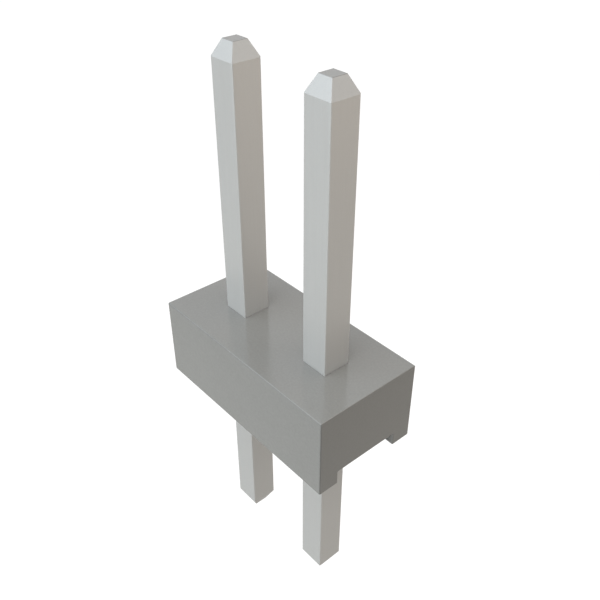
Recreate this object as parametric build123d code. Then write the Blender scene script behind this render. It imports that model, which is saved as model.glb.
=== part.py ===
from build123d import *
import os

# A straight pin header for a circuit board: one moulded insulator holds a single row of square posts.
# Millimetres. +X runs along the row and +Z up the posts.
# The origin is on the board's surface, where the rails rest, at the middle of the row.

# Row
POSITIONS = 2
PITCH = 2.0

# Insulator: a block on two rails, which keep it clear of the solder on the board
BODY_WIDTH = 2.0
BODY_HEIGHT = 1.5
RAIL_WIDTH = 0.381
RAIL_HEIGHT = 0.254
BODY_EDGE_RADIUS = 0.02

# Posts: square wire, coined to a blunt point at both ends
POST_SIDE = 0.508
POST_CORNER_RADIUS = 0.015
MATING_LENGTH = 4.572
TAIL_LENGTH = 3.5
TIP_SIDE = 0.254
TIP_LENGTH = 0.254

# Swage: two dies pinch the wire on its left and right, and it bulges into an ear at front and back
SWAGE_LENGTH = 0.62
SWAGE_RAMP = 0.11
PINCH_DEPTH = 0.03
EAR_WIDTH = 0.34
EAR_HEIGHT = 0.045

# Seats: the post slides through its hole with a hair of clearance, and its ears bite into the wall
SEAT_CLEARANCE = 0.004
LEAD_IN = 0.08

# Lengths and heights that follow from the sizes above
BODY_LENGTH = POSITIONS * PITCH
POST_TOP = BODY_HEIGHT + MATING_LENGTH
POST_BOTTOM = -TAIL_LENGTH
SWAGE_MIDDLE = (RAIL_HEIGHT + BODY_HEIGHT) / 2


def post_places():
    """Where each post's axis stands along the row, with the row's middle at the origin."""
    first = -(POSITIONS - 1) * PITCH / 2
    return [first + i * PITCH for i in range(POSITIONS)]


def wire_section(height, growth=0):
    """The wire's square section with its rounded corners, at a height and grown evenly all round."""
    side = POST_SIDE + 2 * growth
    return Plane.XY.offset(height) * RectangleRounded(side, side, POST_CORNER_RADIUS + growth)


def point_limits(plane):
    """The prism that the dies for both points leave, from the side that faces the plane."""
    right_half = [
        (TIP_SIDE / 2, POST_TOP),
        (POST_SIDE / 2, POST_TOP - TIP_LENGTH),
        (POST_SIDE / 2, POST_BOTTOM + TIP_LENGTH),
        (TIP_SIDE / 2, POST_BOTTOM),
    ]
    left_half = [(-x, z) for x, z in reversed(right_half)]
    outline = make_face(Polyline(right_half + left_half, close=True))
    return extrude(plane * outline, POST_SIDE, both=True)


def swage_marks(rise, width, plane):
    """A flat-topped mark with a ramp at each end, on the two faces that the plane's X axis meets.

    A positive rise is an ear that stands on the wire, and a negative one is a hollow in it.
    """
    face = POST_SIDE / 2
    half_length = SWAGE_LENGTH / 2
    half_flat = half_length - SWAGE_RAMP
    outline = Polyline(
        (face, SWAGE_MIDDLE + half_length),
        (face + rise, SWAGE_MIDDLE + half_flat),
        (face + rise, SWAGE_MIDDLE - half_flat),
        (face, SWAGE_MIDDLE - half_length),
        close=True,
    )
    mark = extrude(plane * make_face(outline), width / 2, both=True)
    return mark + mark.rotate(Axis.Z, 180)


def ears():
    """The two ears, narrower than the wire, on its front and back faces."""
    return swage_marks(EAR_HEIGHT, EAR_WIDTH, Plane.YZ)


def post():
    """One post, with its axis on the Z axis."""
    wire = extrude(wire_section(POST_BOTTOM), POST_TOP - POST_BOTTOM)
    pointed = wire & point_limits(Plane.XZ) & point_limits(Plane.YZ)
    pinches = swage_marks(-PINCH_DEPTH, POST_SIDE, Plane.XZ)
    return pointed - pinches + ears()


def seat():
    """What one post takes out of the insulator: its hole, the bites of its ears and a lead-in.

    The post goes in from the underside, so the hole flares out there, at the channel's ceiling.
    """
    hole = extrude(wire_section(0, SEAT_CLEARANCE), BODY_HEIGHT)
    mouth = wire_section(RAIL_HEIGHT, SEAT_CLEARANCE + LEAD_IN)
    throat = wire_section(RAIL_HEIGHT + LEAD_IN, SEAT_CLEARANCE)
    return hole + loft([mouth, throat]) + ears()


def insulator():
    """The moulded block, with a channel between its rails and a seat for every post."""
    block = Rectangle(BODY_WIDTH, BODY_HEIGHT, align=(Align.CENTER, Align.MIN))
    channel = Rectangle(BODY_WIDTH - 2 * RAIL_WIDTH, RAIL_HEIGHT, align=(Align.CENTER, Align.MIN))
    moulding = extrude(Plane.YZ * (block - channel), BODY_LENGTH / 2, both=True)
    moulding = fillet(moulding.edges(), BODY_EDGE_RADIUS)
    for x in post_places():
        moulding -= Pos(x, 0, 0) * seat()
    return moulding


def pieces():
    """Every separate piece by its name."""
    named = {"insulator": insulator()}
    for number, x in enumerate(post_places(), start=1):
        named[f"post_{number}"] = Pos(x, 0, 0) * post()
    return named


os.makedirs("parts", exist_ok=True)
for name, piece in pieces().items():
    export_step(piece, f"parts/{name}.step")
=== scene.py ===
"""A straight pin header in a pale studio: a moulded grey insulator round two tin-plated posts.

Lengths are metres, in the part's own frame: +X along the row, +Z up the posts, and the origin on the
board's surface at the middle of the row. Sizes that are written in millimetres carry MM.
"""

import logging
import math
from dataclasses import dataclass
from enum import Enum

import bpy
import numpy as np
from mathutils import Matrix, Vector


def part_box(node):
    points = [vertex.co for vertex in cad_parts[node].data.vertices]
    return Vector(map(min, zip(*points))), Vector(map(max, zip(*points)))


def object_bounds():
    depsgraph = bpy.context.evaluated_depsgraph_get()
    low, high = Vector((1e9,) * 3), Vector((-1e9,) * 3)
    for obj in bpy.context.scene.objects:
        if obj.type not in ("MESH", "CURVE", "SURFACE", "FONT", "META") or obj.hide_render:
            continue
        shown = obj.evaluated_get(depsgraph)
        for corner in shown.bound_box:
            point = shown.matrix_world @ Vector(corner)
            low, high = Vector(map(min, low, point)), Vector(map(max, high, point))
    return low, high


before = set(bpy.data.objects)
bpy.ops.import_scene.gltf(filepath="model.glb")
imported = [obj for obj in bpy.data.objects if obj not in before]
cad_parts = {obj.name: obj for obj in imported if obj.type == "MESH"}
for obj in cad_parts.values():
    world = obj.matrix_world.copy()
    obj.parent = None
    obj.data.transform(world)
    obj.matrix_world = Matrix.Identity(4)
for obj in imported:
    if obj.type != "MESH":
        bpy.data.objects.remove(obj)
CAD_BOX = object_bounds()

MM = 0.001

Colour = tuple[float, float, float]
Place = tuple[float, float, float]
Input = bpy.types.NodeSocket | float | Colour | Vector

log = logging.getLogger("pin_header")


class Axis(Enum):
    """The axes that pieces have their ends on, each with its number in a vector."""

    X = 0
    Z = 2


class Ray(Enum):
    """The kinds of ray that are told apart, each by its output of the Light Path node."""

    CAMERA = "Is Camera Ray"
    GLOSSY = "Is Glossy Ray"
    TRANSMISSION = "Is Transmission Ray"


class Wiring:
    """Adds nodes to an emptied node tree and links them."""

    def __init__(self, tree: bpy.types.NodeTree) -> None:
        """Take over the node tree of a material, a world or a group, and empty it."""
        self.tree = tree
        self.tree.nodes.clear()

    def feed(self, socket: bpy.types.NodeSocket, value: Input) -> None:
        """Link a socket to an input, or set the input to a plain value.

        Args:
            socket: The input.
            value: A socket, a number, a colour or a vector.
        """
        if isinstance(value, bpy.types.NodeSocket):
            self.tree.links.new(value, socket)
        elif socket.type == "RGBA":
            socket.default_value = (*value, 1.0)
        else:
            socket.default_value = value

    def add(
        self,
        kind: str,
        inputs: dict[str | int, Input] | None = None,
        **settings: object,
    ) -> bpy.types.Node:
        """Add one node.

        Args:
            kind: The node's type, without its ShaderNode.
            inputs: What goes into each input, by the input's name or number.
            settings: The node's own properties.

        Returns:
            The new node.
        """
        node = self.tree.nodes.new(f"ShaderNode{kind}")
        for name, value in settings.items():
            setattr(node, name, value)
        for name, value in (inputs or {}).items():
            self.feed(node.inputs[name], value)
        return node

    def sum(self, operation: str, first: Input, second: Input = 0.0) -> bpy.types.NodeSocket:
        """Work out one sum on numbers, by the operation of a Math node, such as MULTIPLY."""
        return self.add("Math", {0: first, 1: second}, operation=operation).outputs[0]

    def vector_sum(
        self,
        operation: str,
        first: Input,
        second: Input = (0.0, 0.0, 0.0),
    ) -> bpy.types.NodeSocket:
        """Work out one sum on vectors, by the operation of a Vector Math node, such as SUBTRACT."""
        return self.add("VectorMath", {0: first, 1: second}, operation=operation).outputs[0]

    def ease(
        self,
        value: Input,
        start: Input,
        end: Input,
        low: Input = 0.0,
        high: Input = 1.0,
    ) -> bpy.types.NodeSocket:
        """Pass smoothly from low, where the value is up to start, to high, where it is from end."""
        ends = {"Value": value, "From Min": start, "From Max": end, "To Min": low, "To Max": high}
        return self.add("MapRange", ends, interpolation_type="SMOOTHSTEP").outputs["Result"]

    def blend(self, mask: Input, outside: Input, inside: Input) -> bpy.types.NodeSocket:
        """Mix two numbers by a mask: the one outside where it is 0, and the one inside where it is 1."""
        ends = {"Value": mask, "To Min": outside, "To Max": inside}
        return self.add("MapRange", ends).outputs["Result"]

    def swing(self, value: Input, amount: Input) -> bpy.types.NodeSocket:
        """Turn a value from 0 to 1 into a change about 0: amount times how far it is from 0.5."""
        return self.sum("MULTIPLY", self.sum("SUBTRACT", value, 0.5), amount)

    def tint(self, colour: Colour, *tones: bpy.types.NodeSocket) -> bpy.types.NodeSocket:
        """Multiply a colour by one tone after another.

        Args:
            colour: The plain colour.
            tones: Numbers near 1 that change over the surface.

        Returns:
            The colour's socket.
        """
        result: Input = colour
        for tone in tones:
            scaled = self.add("VectorMath", {0: result, "Scale": tone}, operation="SCALE")
            result = scaled.outputs[0]
        return result

    def rays(self, *kinds: Ray) -> bpy.types.NodeSocket:
        """Tell rays of some kinds from the others.

        Args:
            kinds: The kinds.

        Returns:
            1 for the rays of those kinds and 0 for the others.
        """
        path = self.add("LightPath").outputs
        result: Input = 0.0
        for kind in kinds:
            result = self.sum("MAXIMUM", path[kind.value], result)
        return result

    def surface(self, inputs: dict[str, Input]) -> None:
        """Finish a material with one Principled BSDF, whose inputs go by name."""
        shader = self.add("BsdfPrincipled", inputs)
        self.add("OutputMaterial", {"Surface": shader.outputs["BSDF"]})


class Effect(Enum):
    """The effects that the materials share, each a node group by this name."""

    GRAIN = "Grain"
    EDGES = "Edges"

    def built(self) -> bpy.types.ShaderNodeTree:
        """Give the effect's node group, which is made the first time.

        Returns:
            The group.
        """
        tree = bpy.data.node_groups.get(self.value)
        if tree is None:
            tree = {Effect.GRAIN: grain_group, Effect.EDGES: edges_group}[self]()
        return tree

    def place(self, wiring: Wiring, inputs: dict[str, Input]) -> bpy.types.Node:
        """Put the effect's group in a material, and give its node, whose outputs go by name."""
        return wiring.add("Group", inputs, node_tree=self.built())


def new_group(
    effect: Effect,
    inputs: dict[str, str],
    outputs: list[str],
) -> tuple[Wiring, bpy.types.Node]:
    """Start a node group with named inputs, and outputs that are numbers.

    Args:
        effect: Which effect it is.
        inputs: Each input's name, with Vector or Float.
        outputs: Each output's name.

    Returns:
        Wiring for the group, and its Group Input node.
    """
    tree = bpy.data.node_groups.new(effect.value, "ShaderNodeTree")
    for name, kind in inputs.items():
        tree.interface.new_socket(name, in_out="INPUT", socket_type=f"NodeSocket{kind}")
    for name in outputs:
        tree.interface.new_socket(name, in_out="OUTPUT", socket_type="NodeSocketFloat")
    wiring = Wiring(tree)
    return wiring, tree.nodes.new("NodeGroupInput")


def end_group(wiring: Wiring, outputs: dict[str, Input]) -> bpy.types.ShaderNodeTree:
    """Finish a node group.

    Args:
        wiring: The group's wiring.
        outputs: What each output gives, by name.

    Returns:
        The group.
    """
    out = wiring.tree.nodes.new("NodeGroupOutput")
    for name, value in outputs.items():
        wiring.feed(out.inputs[name], value)
    return wiring.tree


def grain_group() -> bpy.types.ShaderNodeTree:
    """Make the Grain effect: random specks, or lines along Z when it is stretched.

    Value runs from 0 to 1 about 0.5, and Tone is 1 plus Contrast times how far Value is from 0.5.

    Returns:
        The group.
    """
    kinds = {
        "Coordinates": "Vector",
        "Size": "Float",
        "Stretch": "Float",
        "Detail": "Float",
        "Contrast": "Float",
    }
    wiring, given = new_group(Effect.GRAIN, kinds, ["Value", "Tone"])
    across = wiring.sum("DIVIDE", 1.0, given.outputs["Size"])
    along = wiring.sum("DIVIDE", across, given.outputs["Stretch"])
    scale = wiring.add("CombineXYZ", {"X": across, "Y": across, "Z": along}).outputs[0]
    spot = wiring.vector_sum("MULTIPLY", given.outputs["Coordinates"], scale)
    noise = wiring.add("TexNoise", {"Vector": spot, "Scale": 1.0, "Detail": given.outputs["Detail"]})
    value = noise.outputs["Fac"]
    tone = wiring.sum("ADD", 1.0, wiring.swing(value, given.outputs["Contrast"]))
    return end_group(wiring, {"Value": value, "Tone": tone})


def edges_group() -> bpy.types.ShaderNodeTree:
    """Make the Edges effect: a mask that is 1 along the edges of a box and 0 on its faces.

    A point is near an edge where the second nearest pair of the box's sides is within Width of it.

    Returns:
        The group.
    """
    kinds = {"Coordinates": "Vector", "Middle": "Vector", "Half Size": "Vector", "Width": "Float"}
    wiring, given = new_group(Effect.EDGES, kinds, ["Mask"])
    from_middle = wiring.vector_sum("SUBTRACT", given.outputs["Coordinates"], given.outputs["Middle"])
    offset = wiring.vector_sum("ABSOLUTE", from_middle)
    depth = wiring.vector_sum("SUBTRACT", given.outputs["Half Size"], offset)
    x, y, z = wiring.add("SeparateXYZ", {0: depth}).outputs
    lower = wiring.sum("MINIMUM", wiring.sum("MAXIMUM", x, y), wiring.sum("MAXIMUM", y, z))
    second = wiring.sum("MINIMUM", lower, wiring.sum("MAXIMUM", x, z))
    return end_group(wiring, {"Mask": wiring.ease(second, 0.0, given.outputs["Width"], 1.0, 0.0)})


def new_material(name: str) -> tuple[bpy.types.Material, Wiring]:
    """Start a material.

    Args:
        name: The material's name.

    Returns:
        The material, and wiring for its tree.
    """
    material = bpy.data.materials.new(name)
    material.use_nodes = True
    return material, Wiring(material.node_tree)


@dataclass(frozen=True)
class Extent:
    """The box that a solid of the part fills.

    Attributes:
        middle: Its middle.
        half: Half its size.
    """

    middle: Vector
    half: Vector

    @classmethod
    def of(cls, node: str) -> "Extent":
        """Measure the box of a solid, which goes by its name."""
        low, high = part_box(node)
        return cls((low + high) / 2, (high - low) / 2)

    def depth(self, wiring: Wiring, here: Input, axis: Axis) -> bpy.types.NodeSocket:
        """Work out how deep a point lies below the nearer end of the box along an axis.

        It is half the box's size less the point's distance from the middle.

        Args:
            wiring: The material's wiring.
            here: The point.
            axis: The axis.

        Returns:
            The depth, which is 0 at both ends.
        """
        from_middle = wiring.vector_sum("SUBTRACT", here, self.middle)
        offset = wiring.add("SeparateXYZ", {0: from_middle}).outputs[axis.value]
        return wiring.sum("SUBTRACT", self.half[axis.value], wiring.sum("ABSOLUTE", offset))


def dress(node: str, material: bpy.types.Material) -> bpy.types.Object:
    """Give a solid of the part its material.

    Args:
        node: The solid's name.
        material: What it is made of.

    Returns:
        The solid's object.
    """
    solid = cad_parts[node]
    for slot in solid.material_slots:
        slot.material = material
    return solid


@dataclass(frozen=True)
class Grain:
    """One scale of random change over a surface.

    Attributes:
        size: The width of a speck.
        contrast: The whole width of the change in tone, where 1 is the plain tone.
        detail: How many finer scales it holds.
        stretch: How many times longer along Z than wide a speck is.
    """

    size: float
    contrast: float = 0.0
    detail: float = 2.0
    stretch: float = 1.0

    def place(self, wiring: Wiring, here: Input) -> bpy.types.Node:
        """Put the grain in a material.

        Args:
            wiring: The material's wiring.
            here: The coordinates.

        Returns:
            The Grain node, with its Value and its Tone.
        """
        inputs = {
            "Coordinates": here,
            "Size": self.size,
            "Stretch": self.stretch,
            "Detail": self.detail,
            "Contrast": self.contrast,
        }
        return Effect.GRAIN.place(wiring, inputs)


@dataclass(frozen=True)
class MouldedPlastic:
    """Grey filled plastic from a finely eroded mould, rougher at the ends, as if parted from a strip, with
    painted shade on the ends and along the edges.

    Attributes:
        colour: Its plain colour.
        roughness: The moulded faces' roughness.
        roughness_swing: How much the clouds change the roughness.
        refraction: Its index of refraction.
        cloud: The broad, faint clouds in its colour.
        speck: The filler's specks.
        texture: The mould's texture.
        texture_relief: The depth of that texture.
        edge_width: How far in from an edge the surface is rubbed matt and darkened by painted shade.
        edge_shade_gain: How much lighter than the faces the edges are painted, as a share; below 0 it is
            painted shade.
        edge_roughness: What rubbing adds to the roughness.
        end_shade: How bright the ends are painted, as a share of the other faces: painted shade on the end
            faces.
        end_roughness: The ends' roughness.
        end_depth: How thick the layer is that counts as an end.
    """

    colour: Colour = (0.211, 0.212, 0.205)
    roughness: float = 0.14
    roughness_swing: float = 0.12
    refraction: float = 1.7
    cloud: Grain = Grain(0.7 * MM, contrast=0.06, stretch=0.6)
    speck: Grain = Grain(0.035 * MM, contrast=0.16, detail=1.0)
    texture: Grain = Grain(0.03 * MM, detail=3.0)
    texture_relief: float = 0.0008 * MM
    edge_width: float = 0.025 * MM
    edge_shade_gain: float = -0.3
    edge_roughness: float = 0.25
    end_shade: float = 0.7
    end_roughness: float = 0.34
    end_depth: float = 0.015 * MM

    def material(self, name: str, extent: Extent) -> bpy.types.Material:
        """Make the plastic for a block whose ends face along X.

        Args:
            name: The material's name.
            extent: The block's box.

        Returns:
            The material.
        """
        material, wiring = new_material(name)
        here = wiring.add("TexCoord").outputs["Object"]
        cloud = self.cloud.place(wiring, here).outputs
        speck = self.speck.place(wiring, here).outputs
        texture = self.texture.place(wiring, here).outputs
        box = {"Middle": extent.middle, "Half Size": extent.half, "Width": self.edge_width}
        edge = Effect.EDGES.place(wiring, {"Coordinates": here, **box}).outputs["Mask"]
        depth = extent.depth(wiring, here, Axis.X)
        end = wiring.ease(depth, self.end_depth / 2, self.end_depth, 1.0, 0.0)

        # Painted shade along the edges: their colour is darkened.
        painted_edge_shade = wiring.blend(edge, 1.0, 1.0 + self.edge_shade_gain)
        # Painted shade on the end faces: their colour is darkened.
        end_shade = wiring.blend(end, 1.0, self.end_shade)
        colour = wiring.tint(self.colour, cloud["Tone"], speck["Tone"], painted_edge_shade, end_shade)

        rubbed = wiring.blend(edge, 0.0, self.edge_roughness)
        uneven = wiring.sum("ADD", rubbed, wiring.swing(cloud["Value"], self.roughness_swing))
        plain = wiring.blend(end, self.roughness, self.end_roughness)
        roughness = wiring.sum("ADD", plain, uneven)

        relief = {"Height": texture["Value"], "Distance": self.texture_relief, "Strength": 1.0}
        normal = wiring.add("Bump", relief).outputs["Normal"]
        wiring.surface(
            {"Base Color": colour, "Roughness": roughness, "IOR": self.refraction, "Normal": normal}
        )
        return material


@dataclass(frozen=True)
class TinPlate:
    """Matt tin on drawn wire, with lines along the wire, painted shade on the die-struck points and darker
    cut ends.

    Attributes:
        colour: Its plain colour.
        metallic: How much of it shines as bare metal.
        roughness: The drawn faces' roughness.
        roughness_swing: How much the lines change the roughness.
        lines: The drawing lines along the wire.
        line_relief: The depth of the lines.
        speck: The plating's specks.
        point_length: The points' length, at both ends.
        point_blend: How far to each side of the point's corner the finish changes.
        point_shade: How bright the points are painted, as a share of the drawn faces: painted shade on their
            slanted faces.
        coined_roughness: The points' roughness.
        cut_tone: How bright the cut ends are, as a share of the points.
        cut_depth: How thick the layer is that counts as a cut end.
    """

    colour: Colour = (0.475, 0.475, 0.47)
    metallic: float = 0.3
    roughness: float = 0.45
    roughness_swing: float = 0.2
    lines: Grain = Grain(0.022 * MM, contrast=0.09, detail=3.0, stretch=60.0)
    line_relief: float = 0.0003 * MM
    speck: Grain = Grain(0.03 * MM, contrast=0.04)
    point_length: float = 0.254 * MM
    point_blend: float = 0.01 * MM
    point_shade: float = 0.87
    coined_roughness: float = 0.42
    cut_tone: float = 0.62
    cut_depth: float = 0.004 * MM

    def material(self, name: str, extent: Extent) -> bpy.types.Material:
        """Make the tin plate for a post that stands along Z.

        Args:
            name: The material's name.
            extent: The post's box.

        Returns:
            The material.
        """
        material, wiring = new_material(name)
        here = wiring.add("TexCoord").outputs["Object"]
        lines = self.lines.place(wiring, here).outputs
        speck = self.speck.place(wiring, here).outputs
        depth = extent.depth(wiring, here, Axis.Z)
        corner = (self.point_length - self.point_blend, self.point_length + self.point_blend)
        drawn = wiring.ease(depth, *corner)

        # Painted shade on the points: their colour is darkened.
        shaded_points = wiring.blend(drawn, self.point_shade, 1.0)
        cut = wiring.ease(depth, self.cut_depth, 2 * self.cut_depth, self.cut_tone, 1.0)
        colour = wiring.tint(self.colour, lines["Tone"], speck["Tone"], shaded_points, cut)

        plain = wiring.blend(drawn, self.coined_roughness, self.roughness)
        roughness = wiring.sum("ADD", plain, wiring.swing(lines["Value"], self.roughness_swing))

        height = wiring.sum("MULTIPLY", lines["Value"], drawn)
        relief = {"Height": height, "Distance": self.line_relief, "Strength": 1.0}
        normal = wiring.add("Bump", relief).outputs["Normal"]
        wiring.surface(
            {"Base Color": colour, "Metallic": self.metallic, "Roughness": roughness, "Normal": normal}
        )
        return material


@dataclass
class Insulator:
    """The moulded block that holds the posts.

    Attributes:
        node: Its solid's name.
        finish: What it is made of.
    """

    node: str = "insulator"
    finish: MouldedPlastic = MouldedPlastic()

    def build(self) -> list[bpy.types.Object]:
        """Dress the block, and give it as a list of one piece."""
        return [dress(self.node, self.finish.material("Insulator", Extent.of(self.node)))]


@dataclass
class PostRow:
    """The row of square posts.

    Attributes:
        prefix: How the name of each post's solid starts.
        finish: What they are made of.
    """

    prefix: str = "post_"
    finish: TinPlate = TinPlate()

    def build(self) -> list[bpy.types.Object]:
        """Dress every post, and give them all."""
        nodes = sorted(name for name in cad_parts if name.startswith(self.prefix))
        return [dress(node, self.finish.material(f"Tin on {node}", Extent.of(node))) for node in nodes]


@dataclass(frozen=True)
class Softbox:
    """A square soft lamp that looks at the part.

    Attributes:
        name: The lamp's name.
        azimuth: Where it stands, in degrees from -Y towards +X.
        elevation: How high it stands, in degrees.
        level: How bright a white card that faces it looks, where 1 is white.
        colour: The light's colour.
        width: Its width.
        distance: How far it is from the part.
    """

    name: str
    azimuth: float
    elevation: float
    level: float
    colour: Colour
    width: float
    distance: float = 60 * MM

    def share_of_view(self) -> float:
        """Work out how much of a facing card's light the lamp gives, next to a sky as bright as itself.

        With a the half width over the distance, and s that over the root of 1 plus its square, it is
        4 over pi, times s, times the arc tangent of s.

        Returns:
            The share, from 0 to 1.
        """
        half = self.width / (2 * self.distance)
        slant = half / math.sqrt(1 + half**2)
        return 4 / math.pi * slant * math.atan(slant)

    def set_up(self, target: Vector) -> bpy.types.Object:
        """Place the lamp.

        Its power is its brightness times pi and its area, and its brightness is the level over its
        share of view.

        Args:
            target: The point that it looks at.

        Returns:
            The lamp.
        """
        turn, rise = math.radians(self.azimuth), math.radians(self.elevation)
        across = math.cos(rise)
        way = Vector((math.sin(turn) * across, -math.cos(turn) * across, math.sin(rise)))
        data = bpy.data.lights.new(self.name, "AREA")
        data.shape = "SQUARE"
        data.size = self.width
        data.color = self.colour
        data.energy = math.pi * self.width**2 * self.level / self.share_of_view()
        lamp = bpy.data.objects.new(self.name, data)
        lamp.location = target + way * self.distance
        lamp.rotation_euler = (-way).to_track_quat("-Z", "Y").to_euler()
        bpy.context.scene.collection.objects.link(lamp)
        return lamp


@dataclass(frozen=True)
class Room:
    """The pale room round the part: white to look at, and plainer in the light that it sheds.

    Attributes:
        shown: What the camera, gloss and glass see.
        light: What lights the part.
    """

    shown: Colour = (1.0, 1.0, 1.0)
    light: Colour = (0.2, 0.2, 0.2)

    def set_up(self) -> bpy.types.World:
        """Make the room the scene's world.

        Returns:
            The world.
        """
        world = bpy.data.worlds.new("Room")
        world.cycles.sampling_method = "NONE"
        world.use_nodes = True
        bpy.context.scene.world = world
        wiring = Wiring(world.node_tree)
        plain = wiring.add("Background", {"Color": self.light, "Strength": 1.0})
        white = wiring.add("Background", {"Color": self.shown, "Strength": 1.0})
        seen = wiring.rays(Ray.CAMERA, Ray.GLOSSY, Ray.TRANSMISSION)
        both = wiring.add("MixShader", {0: seen, 1: plain.outputs[0], 2: white.outputs[0]})
        wiring.add("OutputWorld", {"Surface": both.outputs[0]})
        return world


@dataclass(frozen=True)
class Floor:
    """A round pale floor below the part, which looks white and keeps the part's shadow.

    Attributes:
        drop: How far it lies below the part's lowest point.
        radius: Its radius.
        colour: Its own colour.
        lift: What is added to it where the camera and glass see it: near the part, and far off.
        gloss_lift: What is added to it where gloss shows it, faintly warm.
        reach: The distances over which the one lift passes into the other.
        rings: How many rings of faces it has.
        spokes: How many faces go round it.
    """

    drop: float = 20 * MM
    radius: float = 480 * MM
    colour: Colour = (0.3, 0.3, 0.3)
    lift: tuple[float, float] = (0.78, 0.95)
    gloss_lift: Colour = (0.55, 0.52, 0.47)
    reach: tuple[float, float] = (10 * MM, 120 * MM)
    rings: int = 24
    spokes: int = 96

    def mesh(self, height: float) -> bpy.types.Mesh:
        """Make the disc: each ring's radius times the cosine and the sine of each spoke's angle.

        Args:
            height: Its height.

        Returns:
            The mesh, with a fan of triangles in its middle.
        """
        angles = np.arange(self.spokes) * (2 * np.pi / self.spokes)
        radii = np.linspace(0, self.radius, self.rings + 1)[1:, None]
        level = np.full((self.rings, self.spokes), height)
        rim_points = np.stack([radii * np.cos(angles), radii * np.sin(angles), level], axis=-1)
        points = np.concatenate([[[0.0, 0.0, height]], rim_points.reshape(-1, 3)])
        index = 1 + np.arange(self.rings * self.spokes).reshape(self.rings, self.spokes)
        after = np.roll(index, -1, axis=1)
        fan = np.stack([np.zeros(self.spokes, int), index[0], after[0]], axis=-1)
        quads = np.stack([index[:-1], index[1:], after[1:], after[:-1]], axis=-1).reshape(-1, 4)
        mesh = bpy.data.meshes.new("Floor")
        mesh.from_pydata(points.tolist(), [], fan.tolist() + quads.tolist())
        return mesh

    def material(self) -> bpy.types.Material:
        """Make the floor's material, which is clear from below.

        Returns:
            The material.
        """
        material, wiring = new_material("Floor")
        here = wiring.add("TexCoord").outputs["Object"]
        flat = wiring.vector_sum("MULTIPLY", here, (1.0, 1.0, 0.0))
        out = wiring.add("VectorMath", {0: flat}, operation="LENGTH").outputs["Value"]
        shown = wiring.ease(out, *self.reach, *self.lift)
        direct = wiring.sum("MULTIPLY", wiring.rays(Ray.CAMERA, Ray.TRANSMISSION), shown)
        mirrored = wiring.tint(self.gloss_lift, wiring.rays(Ray.GLOSSY))
        lift = wiring.vector_sum("ADD", mirrored, direct)
        added = wiring.add("Emission", {"Color": lift, "Strength": 1.0})
        matt = wiring.add("BsdfDiffuse", {"Color": self.colour})
        top = wiring.add("AddShader", {0: matt.outputs[0], 1: added.outputs[0]})
        clear = wiring.add("BsdfTransparent")
        below = wiring.add("NewGeometry").outputs["Backfacing"]
        both = wiring.add("MixShader", {0: below, 1: top.outputs[0], 2: clear.outputs[0]})
        wiring.add("OutputMaterial", {"Surface": both.outputs[0]})
        return material

    def set_up(self, lowest: float) -> bpy.types.Object:
        """Lay the floor.

        Args:
            lowest: The height of the part's lowest point.

        Returns:
            The floor.
        """
        floor = bpy.data.objects.new("Floor", self.mesh(lowest - self.drop))
        floor.data.materials.append(self.material())
        bpy.context.scene.collection.objects.link(floor)
        return floor


@dataclass(frozen=True)
class PhotoCamera:
    """The camera that took the photograph, fitted to the part's corners there.

    Attributes:
        place: Where it stands.
        look: The direction that it looks in.
        lens: Its focal length in millimetres, on film of this width.
        film: The film's width in millimetres.
        nearest: What is nearer isn't seen.
        furthest: What is further isn't seen.
    """

    place: Place = (7.5296 * MM, -6.1897 * MM, 8.9709 * MM)
    look: Place = (-0.61925, 0.53657, -0.57326)
    lens: float = 44.31
    film: float = 36.0
    nearest: float = 0.5 * MM
    furthest: float = 2000 * MM

    def set_up(self) -> bpy.types.Object:
        """Set up the camera as the scene's own.

        Returns:
            The camera.
        """
        data = bpy.data.cameras.new("Camera")
        data.lens = self.lens
        data.sensor_width = self.film
        data.clip_start = self.nearest
        data.clip_end = self.furthest
        camera = bpy.data.objects.new("Camera", data)
        camera.location = self.place
        camera.rotation_euler = Vector(self.look).to_track_quat("-Z", "Y").to_euler()
        bpy.context.scene.collection.objects.link(camera)
        bpy.context.scene.camera = camera
        return camera


@dataclass(frozen=True)
class Studio:
    """The room, the floor, the camera and the lamps.

    Attributes:
        room: The room round the part.
        floor: The floor below it.
        camera: The camera.
        lamps: The soft lamps round it, fitted to the tones of its faces in the photograph.
    """

    room: Room = Room()
    floor: Floor = Floor()
    camera: PhotoCamera = PhotoCamera()
    lamps: tuple[Softbox, ...] = (
        Softbox("Key", azimuth=0, elevation=75, level=0.57, colour=(1.0, 0.981, 0.966), width=100 * MM),
        Softbox("Front", azimuth=0, elevation=20, level=0.392, colour=(0.914, 0.981, 1.0), width=90 * MM),
        Softbox("Right", azimuth=15, elevation=30, level=0.31, colour=(0.944, 1.0, 0.999), width=70 * MM),
        Softbox("Behind", azimuth=150, elevation=55, level=0.181, colour=(1.0, 0.868, 0.703), width=60 * MM),
        Softbox("Low end", azimuth=125, elevation=0, level=0.119, colour=(1.0, 0.764, 0.539), width=36 * MM),
        Softbox("Window", azimuth=-50, elevation=35, level=0.118, colour=(0.599, 0.816, 1.0), width=40 * MM),
        Softbox("Back", azimuth=180, elevation=0, level=0.25, colour=(1.0, 1.0, 1.0), width=36 * MM),
    )

    def set_up(self) -> None:
        """Set everything up round the part."""
        low, high = CAD_BOX
        bpy.context.scene.view_settings.view_transform = "Standard"
        self.room.set_up()
        self.floor.set_up(low.z)
        for lamp in self.lamps:
            lamp.set_up((low + high) / 2)
        self.camera.set_up()


def main() -> None:
    """Dress the part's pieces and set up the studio."""
    logging.basicConfig(level=logging.INFO, format="%(name)s: %(message)s")
    for assembly in (Insulator(), PostRow()):
        for piece in assembly.build():
            log.info("dressed %s", piece.name)
    Studio().set_up()


if __name__ == "__main__":
    main()
